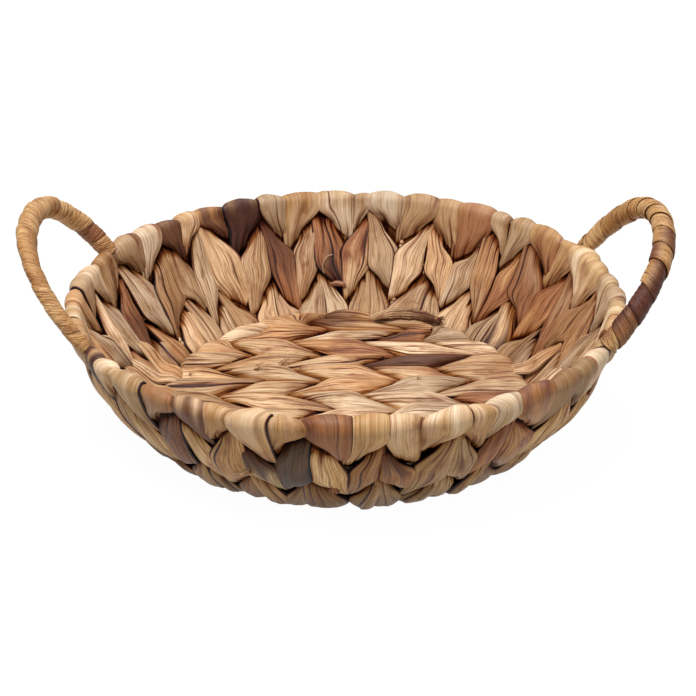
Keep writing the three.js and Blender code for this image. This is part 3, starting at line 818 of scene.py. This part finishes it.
def fibres_from(root, towards, count, size, spread, tones, rng, thickness=0.28):
    """A tuft of fine fibres that fan out from one root and curl at random."""
    root, towards = np.asarray(root, float), np.asarray(towards, float)
    shells = []
    for _ in range(count):
        way = unit(towards + rng.normal(0, spread, 3))
        reach = size * rng.uniform(0.6, 1.2)
        curl = rng.normal(0, 0.28, 3) * reach
        start = root + rng.normal(0, 0.8 * MM, 3)
        path = bent([start, root + way * reach * 0.5 + curl * 0.3, root + way * reach + curl],
                    FIBRE_POINTS)
        path[:, 2] = np.maximum(path[:, 2], MM)
        taper = np.linspace(1, 0.35, FIBRE_POINTS) * thickness * MM * rng.uniform(0.7, 1.6)
        shells.append(loose_stem(path, 1.6 * taper, taper, (0.1, 0.2, 1.0), tones, rng.random(), sides=8,
                                 depth=0.05))
    return shells


def leaf_scar(centre, along, out, sizes, tones, seed):
    """A small wrinkled lump, its half widths the root of a sine along its length."""
    along = unit(along)
    path = centre + np.linspace(-1, 1, SCAR_POINTS)[:, None] * along * sizes[0] * MM
    wrinkles = 1 + 0.12 * np.sin(np.arange(SCAR_POINTS) * 1.7 + 9 * seed)
    body = tapered(SCAR_POINTS, 0.1, 0.1) * wrinkles
    return loose_stem(path, body * sizes[1] * MM, body * sizes[2] * MM, np.cross(along, out), tones, seed,
                      ribbed=7, depth=0.3)


def wall_details(arc, rng):
    """Leaf scars, tufts, a loose hair and a broken end on the wall."""
    def on_wall(lane, down, out):
        return arc.point(arc.half * (1 - 2 * down), out * MM, lane * LANE)

    def away(lane, sign):
        return np.array([math.cos(lane * LANE), math.sin(lane * LANE), -0.4]) * sign

    shells = []
    for lane, down, out, sizes, tone in SCARS:
        centre = on_wall(lane, down, out)
        shells.append(leaf_scar(centre, on_wall(lane, down + 0.05, out) - centre,
                                away(lane, math.copysign(1, out)), sizes, (tone, BROWN), rng.random()))
    hair = bent([on_wall(*place) for place in ((13.0, 0.47, -6.5), (13.2, 0.47, -8.5), (13.5, 0.52, -8),
                                               (13.35, 0.63, -6))], 30)
    shells.append(loose_stem(hair, 0.4 * MM, 0.25 * MM, (0, 0, 1), (BLEACHED, "#e6d8c2"), 0.4, sides=10,
                             depth=0.05))
    broken = bent([on_wall(*place) for place in ((13.1, 0.72, -4.5), (12.8, 0.71, -6.5),
                                                 (12.5, 0.74, -6.2))], 16)
    shells.append(loose_stem(broken, 2.1 * MM * tapered(16, 0.6, 0.7), 1.0 * MM * tapered(16, 0.6, 0.6),
                             (0, 0, 1), ("#c39c86", "#e2c1ad"), 0.7, ribbed=4, depth=0.25))
    shells += fibres_from(on_wall(12.6, 0.73, -6.2), away(12.6, -1) + (0.2, 0, 0.3), 5, 5 * MM, 0.35,
                          ("#d8b8a2", "#ead2c0"), rng)
    return shells + fibres_from(on_wall(34.7, 0.5, 5.2), away(34.7, 1) + (-0.8, 0, 0.8), 7, 8 * MM, 0.4,
                                (DULL_TAN, STRAW), rng)


def floor_details(rng):
    """A stem laid under the floor's edge, a thick frayed stem end on its back edge and short frays."""
    turn = 2 * np.pi * np.arange(240) / 240
    around = np.stack([np.cos(turn), np.sin(turn), 0 * turn], 1)
    shells = [loose_stem(0.1155 * around + (0, 0, 0.0042), 3.4 * MM, 2.2 * MM, around, (TAN, DULL_TAN),
                         0.6, closed=True, ribbed=8)]
    stub = bent([(0.017, 0.104, 0.0125), (0.030, 0.112, 0.0155), (0.048, 0.109, 0.0165),
                 (0.064, 0.098, 0.0135)], 60)
    step = np.arange(60)
    body = tapered(60, 0.5, 0.6) * (1 + 0.09 * np.sin(step * 0.42) + 0.06 * np.sin(step * 1.1))
    shells.append(loose_stem(stub, 4.2 * MM * body, 3.6 * MM * body, (0, 0.6, 1), (TAN, BROWN), 0.35,
                             sides=48, ribbed=13, depth=0.26))
    shells += fibres_from((0.061, 0.1, 0.0145), (0.9, -0.5, 0.1), 14, 5 * MM, 0.25, ("#b48a5e", BROWN),
                          rng, 0.4)
    curl = bent([(0.042, 0.110, 0.017), (0.038, 0.115, 0.023), (0.052, 0.115, 0.024),
                 (0.049, 0.109, 0.017)], 26)
    shells.append(loose_stem(curl, 0.8 * MM, 0.35 * MM, (0, 0, 1), ("#e6cba6", STRAW), 0.2, sides=10,
                             depth=0.1))
    second = bent([(-0.014, 0.109, 0.012), (0.001, 0.109, 0.0155), (0.020, 0.104, 0.0125)], 40)
    body = tapered(40, 0.3, 0.4)
    shells.append(loose_stem(second, 4.2 * MM * body, 2.4 * MM * body, (0, 0.7, 1), (BROWN, HONEY), 0.8,
                             sides=30, ribbed=7, depth=0.26))
    for root, way, count in FLOOR_FRAYS:
        shells += fibres_from(root, way, count, 9 * MM, 0.35, ("#a87a54", TAN), rng, 0.2)
    return shells


def tucked_ends(w, arc, rng):
    """Leaf ends of the wall, tucked in over the floor's edge: flat tongues along a bent line.

    Somewhat over half of the lanes have one at the front and the sides, fewer further back, and none in
    the middle of the back.
    """
    names, shares = list(TONES), np.array(list(TONES.values()))
    edge = w.floor_radius - 5 * MM
    shells = []
    for lane in range(1, 2 * len(PLAITS) + 1):
        turn = lane * LANE
        chosen, slant = rng.random(), rng.choice([-1, 1]) * rng.uniform(0.1, 0.45)
        tones = rng.choice(names, 2, p=shares / shares.sum())
        wide, seed, lift = rng.uniform(6.6, 8.4) * MM, rng.random(), rng.uniform(0, 0.8) * MM
        reach = rng.uniform(3, 10) * MM
        if chosen < 0.42 + 0.58 * smooth(0.1, 0.6, math.sin(turn)):
            continue
        angles = turn + LANE * slant * np.array([-1.0, -0.6, 0.0, 0.5, 1.0])
        line = [arc.point(share * arc.half, out * MM, azimuth) for share, out, azimuth
                in zip((-0.25, -0.55, -0.88), (-2.0, -5.4, -6.6), angles)]
        line += [(r * math.cos(azimuth), r * math.sin(azimuth), w.floor_height + z) for r, z, azimuth
                 in ((edge, 5.2 * MM + lift, angles[3]), (edge - reach, 1.2 * MM, angles[4]))]
        shells.append(loose_stem(
            through(line, TONGUE_POINTS), wide * tapered(TONGUE_POINTS, 0.5, 0.3),
            1.4 * MM * tapered(TONGUE_POINTS, 0.3, 0.4), (-math.sin(turn), math.cos(turn), 0.0), tones,
            seed, sides=48, ribbed=int(7 + 5 * seed)))
    return shells


# Handles

def even_hoop(s, h, bare, count):
    """Points at even distances along a hoop, with what stays bare at either foot.

    A hoop is a squared half ellipse from foot to foot that leans out over the rim.
    """
    turn = np.pi * np.linspace(0, 1, 4001)
    power = 2 / h.squareness
    sideways = np.sign(np.cos(turn)) * np.abs(np.cos(turn)) ** power
    upwards = np.abs(np.sin(turn)) ** power
    fine = np.stack([s.rim_radius * math.cos(h.span) + h.rise * upwards * math.sin(h.lean),
                     s.rim_radius * math.sin(h.span) * sideways,
                     s.rim_height + h.rise * upwards * math.cos(h.lean)], -1)
    run = distance_run(fine)
    wanted = np.linspace(bare, run[-1] - bare, count)
    return np.stack([np.interp(wanted, run, fine[:, axis]) for axis in range(3)], 1), wanted, run[-1]


def handle_wrap(s, h, side, rng):
    """One flat strip wound round a hoop. Each turn starts under the turn before and ends over it.

    The strip's own length turns with the angle round the hoop, its width runs along the hoop, and
    its radius climbs across the width by the strip's thickness. Creases run along it as ribs of v.
    """
    around, across = 44, 25  # Points in one turn, and across one face
    half_width, overlap = 0.66, 0.75 * MM  # Half width in pitches, and climb from the middle to an edge
    half_thick, crease = 0.6 * MM, 0.55 * MM
    narrowed = 9 * MM  # Length over which the handle narrows towards a foot
    strip = STRIPS[side]
    bare = strip["bare"]
    path, run, size = even_hoop(s, h, bare, 900)
    tangent = tangents(path)
    out = np.array([math.cos(h.lean), 0.0, -math.sin(h.lean)])
    inward = np.cross(tangent, np.broadcast_to(out, tangent.shape))
    pitch = (size - 2 * bare) / h.turns
    turn_no = np.arange(-around // 3, h.turns * around + around // 3 + 1) / around

    def uneven(per_turn, spread, most=math.inf):
        """Random steps from place to place, so many in a turn, joined by straight lines."""
        places = np.arange(-2 * per_turn, per_turn * (h.turns + 3))
        steps = np.clip(rng.normal(0, spread, len(places)), -most, most)
        return np.interp(turn_no * per_turn, places, steps)[:, None]

    jitter, lift, widths = uneven(1, 0.09, 0.15), uneven(3, 0.22) * MM, half_width + uneven(2, 0.04)
    v, face = both_faces(across)
    number = turn_no[:, None]
    distance = np.clip(bare + pitch * (number + jitter + v * widths), bare, size - bare)
    turn = 2 * np.pi * number + 0 * v
    rounded = np.clip(1 - np.abs(v) ** 3, 0, 1) ** 0.5
    wrinkle = ribs(v, 5.5, 0.2 + 4 * number + 0.4 * np.sin(2 * np.pi * number * 0.37))
    radius = h.radius - 1.5 * MM + lift + overlap * v + face * half_thick * rounded \
        + np.where(face > 0, crease * (wrinkle - 0.75) * rounded, 0)
    taper = smooth(0, narrowed, distance - bare) * smooth(0, narrowed, size - bare - distance)
    radius = radius * (0.9 + 0.1 * taper)
    centre, inner = (np.stack([np.interp(distance, run, line[:, axis]) for axis in range(3)], -1)
                     for line in (path, inward))
    slim = np.interp(distance / size, *strip["slim"])
    points = centre + radius[..., None] * (inner * np.cos(turn)[..., None]
                                           + out * (slim * np.sin(turn))[..., None])
    tones = np.array([linear(code) for code in STRIP_TONES])
    own = tones[rng.integers(0, len(tones), h.turns + 3)] * rng.normal(1, 0.05, (h.turns + 3, 1))
    for marked, code in strip["marked"].items():
        own[marked + 1] = linear(code)
    whole = np.clip(np.floor(turn_no) + 1, 0, h.turns + 2).astype(int)
    part = smooth(0.75, 1.0, turn_no - np.floor(turn_no))[:, None]
    tint = own[whole] * (1 - part) + own[np.minimum(whole + 1, h.turns + 2)] * part
    # Painted shade in the strip's creases and at its edges, where one turn lies on the next
    edge = 1 - smooth(0.88, 1.0, np.abs(v)) + 0 * number
    return {"points": points * np.array([strip["sign"], strip["sign"], 1.0]), "closed": False,
            "tint": np.broadcast_to(tint[:, None, :], points.shape),
            "run": np.stack([v * pitch * 0.6 + 0 * number, 2 * np.pi * h.radius * number + 0 * v,
                             0 * turn + 3], -1),
            "relief": (0.6 + 0.4 * wrinkle) * (0.9 + 0.1 * edge), "depth_shade": 0.75 + 0.15 * edge}


# Operators

def sizes_of(context):
    """The sizes of the frame, the weave and the handles, and the wall's arc."""
    scene = context.scene
    return scene.basket_frame, scene.basket_weave, scene.basket_handle, WallArc(scene.basket_frame)


def upright_azimuths(s):
    """Where the uprights stand: in the middle between the lanes of every fifth plait."""
    return [(2 * index + 0.5) * LANE for index in range(0, len(PLAITS), s.uprights_every)]


class BASKET_OT_frame(bpy.types.Operator):
    """Rounds off the wire frame: three rings, uprights, floor wires and two hoops, with their welds"""
    bl_idname = "basket.frame"
    bl_label = "Wire frame"

    def execute(self, context):
        s, w, h, arc = sizes_of(context)
        steel = drawn_steel("drawn mild steel", s.steel)
        turn = 2 * np.pi * np.arange(160) / 160
        rim, middle, base = (tube(arc.point(along, 0.0, turn), s.ring_wire / 2, 14, closed=True)
                             for along in (arc.half, 0.0, -arc.half))
        make_piece("rim_wire", [rim], steel, "steel_wire", "rim_ring")
        make_piece("base_wire", [base], steel, "steel_wire", "base_ring")
        span = arc.half - s.ring_wire / 2 - WELD_GAP
        bead = np.linspace(-1, 1, 9)
        bulge = (1.0 + 1.5 * np.sqrt(np.clip(1 - bead ** 2, 0, 1))) * MM
        shells = [middle]
        for azimuth in upright_azimuths(s):
            guide = (-math.sin(azimuth), math.cos(azimuth), 0.0)
            upright, weld = (arc.point(along, 0.0, azimuth)
                             for along in (np.linspace(-span, span, 26), 3.4 * MM * bead))
            shells += [tube(upright, s.upright_wire / 2, 12, guide), tube(weld, bulge, 12, guide)]
        make_piece("middle_wire_and_uprights", shells, steel, "steel_wire", "middle_ring_and_uprights")
        reach = s.base_radius - s.ring_wire / 2 - WELD_GAP
        for name, x in zip(FLOOR_WIRES, FLOOR_WIRE_PLACES):
            end = math.sqrt(reach ** 2 - (abs(x) + s.upright_wire / 2) ** 2)
            path = np.array([(x, y, w.floor_height) for y in np.linspace(-end, end, 40)])
            make_piece(name + "_round", [tube(path, s.upright_wire / 2, 12)], steel, "steel_wire", name)
        for side, strip in STRIPS.items():
            sign = strip["sign"]
            path = even_hoop(s, h, 2.2 * MM, 120)[0] * np.array([sign, sign, 1])
            guide = (sign * math.cos(h.lean), 0.0, -math.sin(h.lean))
            make_piece(f"hoop_{side}", [tube(path, s.hoop_wire / 2, 14, guide)], steel, "steel_wire",
                       f"handle_hoop_{side}")
        return {"FINISHED"}


class BASKET_OT_wall(bpy.types.Operator):
    """Twines the wall, one plait of two opposed lanes for each plait of the frame"""
    bl_idname = "basket.wall"
    bl_label = "Twined wall"

    def execute(self, context):
        s, w, _, arc = sizes_of(context)
        stem = dried_stem("dried water hyacinth, wall", 0.46, "#fffaf2", 0.6)
        for index, name in enumerate(PLAITS):
            rng = np.random.default_rng(100 + index)
            lanes = [wall_lane(w, arc, 2 * index + 1, -1, rng), wall_lane(w, arc, 2 * index + 2, 1, rng)]
            make_piece(name.replace("wall_plait", "twined_plait"), lanes, stem, "hyacinth_wall", name)
        sleeves = [upright_sleeve(arc, azimuth, 0.1 + 0.03 * (number * s.uprights_every))
                   for number, azimuth in enumerate(upright_azimuths(s))]
        for name, shells in (("middle_ring_padding", ring_padding(arc)), ("upright_sleeves", sleeves),
                             ("wall_loose_ends", wall_details(arc, np.random.default_rng(310)))):
            make_piece(name, shells, stem, "hyacinth_wall")
        return {"FINISHED"}


class BASKET_OT_floor(bpy.types.Operator):
    """Twines the floor, row by row over the floor wires"""
    bl_idname = "basket.floor"
    bl_label = "Twined floor"

    def execute(self, context):
        _, w, _, arc = sizes_of(context)
        stem = dried_stem("dried water hyacinth, floor", 0.48, "#f8f4ec", 0.95)
        for index, name in enumerate(ROWS):
            row = floor_row(w, index, np.random.default_rng(400 + index))
            make_piece(name.replace("floor_row", "twined_row"), [row], stem, "hyacinth_floor", name)
        for name, shells in (("floor_loose_ends", floor_details(np.random.default_rng(450))),
                             ("tucked_leaf_ends", tucked_ends(w, arc, np.random.default_rng(460)))):
            make_piece(name, shells, stem, "hyacinth_floor")
        return {"FINISHED"}


class BASKET_OT_handles(bpy.types.Operator):
    """Winds one flat strip round each handle's hoop"""
    bl_idname = "basket.handles"
    bl_label = "Wound handles"

    def execute(self, context):
        s, _, h, _ = sizes_of(context)
        stem = dried_stem("dried water hyacinth, wound strip", 0.45, "#e4ddd0", 0.6)
        for number, side in enumerate(STRIPS):
            wrap = handle_wrap(s, h, side, np.random.default_rng(800 + number))
            make_piece(f"wound_handle_{side}", [wrap], stem, "hyacinth_handle", f"handle_wrap_{side}")
        return {"FINISHED"}


class BASKET_OT_stage(bpy.types.Operator):
    """Sets the plain pale floor, the soft studio light and the camera"""
    bl_idname = "basket.stage"
    bl_label = "Stage"

    def execute(self, context):
        scene, stage = context.scene, context.scene.basket_stage
        aim_height = 40 * MM
        side = stage.floor_size / 2
        mesh = bpy.data.meshes.new("studio_floor")
        mesh.from_pydata([(-side, -side, 0), (side, -side, 0), (side, side, 0), (-side, side, 0)], [],
                         [(0, 1, 2, 3)])
        mesh.materials.append(pale_floor("matt studio sheet", stage.floor_colour))
        add_object("studio_floor", mesh)
        scene.world = bpy.data.worlds.new("studio")
        scene.world.use_nodes = True
        tree = scene.world.node_tree
        tree.nodes.clear()
        soft, white = (add_node(tree, "Background", {"Color": (1, 1, 1, 1), "Strength": strength})
                       for strength in (0.34, 1.0))
        seen = add_node(tree, "LightPath", out="Is Camera Ray")
        both = add_node(tree, "MixShader", {0: seen, 1: soft, 2: white})
        add_node(tree, "OutputWorld", {"Surface": both})
        for name, place, size, watts in (("key_light", (-0.35, -0.4, 1.6), 0.6, 33.0),
                                         ("fill_light", (1.1, -0.9, 0.9), 1.2, 4.0),
                                         ("back_light", (0.4, 1.1, 1.3), 0.9, 9.0)):
            lamp = bpy.data.lights.new(name, "AREA")
            lamp.shape, lamp.size, lamp.energy = "DISK", size, watts
            holder = add_object(name, lamp)
            holder.location = place
            aim = Vector((0, 0, aim_height)) - holder.location
            holder.rotation_euler = aim.to_track_quat("-Z", "Y").to_euler()
        lens = bpy.data.cameras.new("camera")
        lens.lens, lens.sensor_width, lens.sensor_fit = stage.camera_lens, 36.0, "HORIZONTAL"
        lens.shift_x, lens.shift_y = 0.0036, 0.003
        camera = add_object("camera", lens)
        tilt, far = stage.camera_elevation, stage.camera_distance
        camera.location = (0, -far * math.cos(tilt), aim_height + far * math.sin(tilt))
        camera.rotation_euler = (math.pi / 2 - tilt, 0, 0)
        scene.camera = camera
        scene.view_settings.view_transform = "Standard"
        return {"FINISHED"}


class BASKET_PT_panel(bpy.types.Panel):
    """The basket's steps in the sidebar"""
    bl_label = "Water hyacinth basket"
    bl_idname = "BASKET_PT_panel"
    bl_space_type = "VIEW_3D"
    bl_region_type = "UI"
    bl_category = "Basket"

    def draw(self, context):
        for group in GROUPS:
            box = self.layout.box()
            settings = getattr(context.scene, group)
            for name in settings.__annotations__:
                box.prop(settings, name)
        for operator in STEPS:
            self.layout.operator(operator.bl_idname)


STEPS = [BASKET_OT_frame, BASKET_OT_wall, BASKET_OT_floor, BASKET_OT_handles, BASKET_OT_stage]
GROUPS = {"basket_frame": FrameSizes, "basket_weave": WeaveSizes, "basket_handle": HandleSizes,
          "basket_stage": StageSizes}
CLASSES = [*GROUPS.values(), *STEPS, BASKET_PT_panel]


def register():
    for kind in CLASSES:
        bpy.utils.register_class(kind)
    for name, group in GROUPS.items():
        setattr(bpy.types.Scene, name, PointerProperty(type=group))


def unregister():
    for name in GROUPS:
        delattr(bpy.types.Scene, name)
    for kind in reversed(CLASSES):
        bpy.utils.unregister_class(kind)


def main():
    register()
    bpy.ops.basket.frame()
    bpy.ops.basket.wall()
    bpy.ops.basket.floor()
    bpy.ops.basket.handles()
    bpy.ops.basket.stage()


if __name__ == "__main__":
    main()
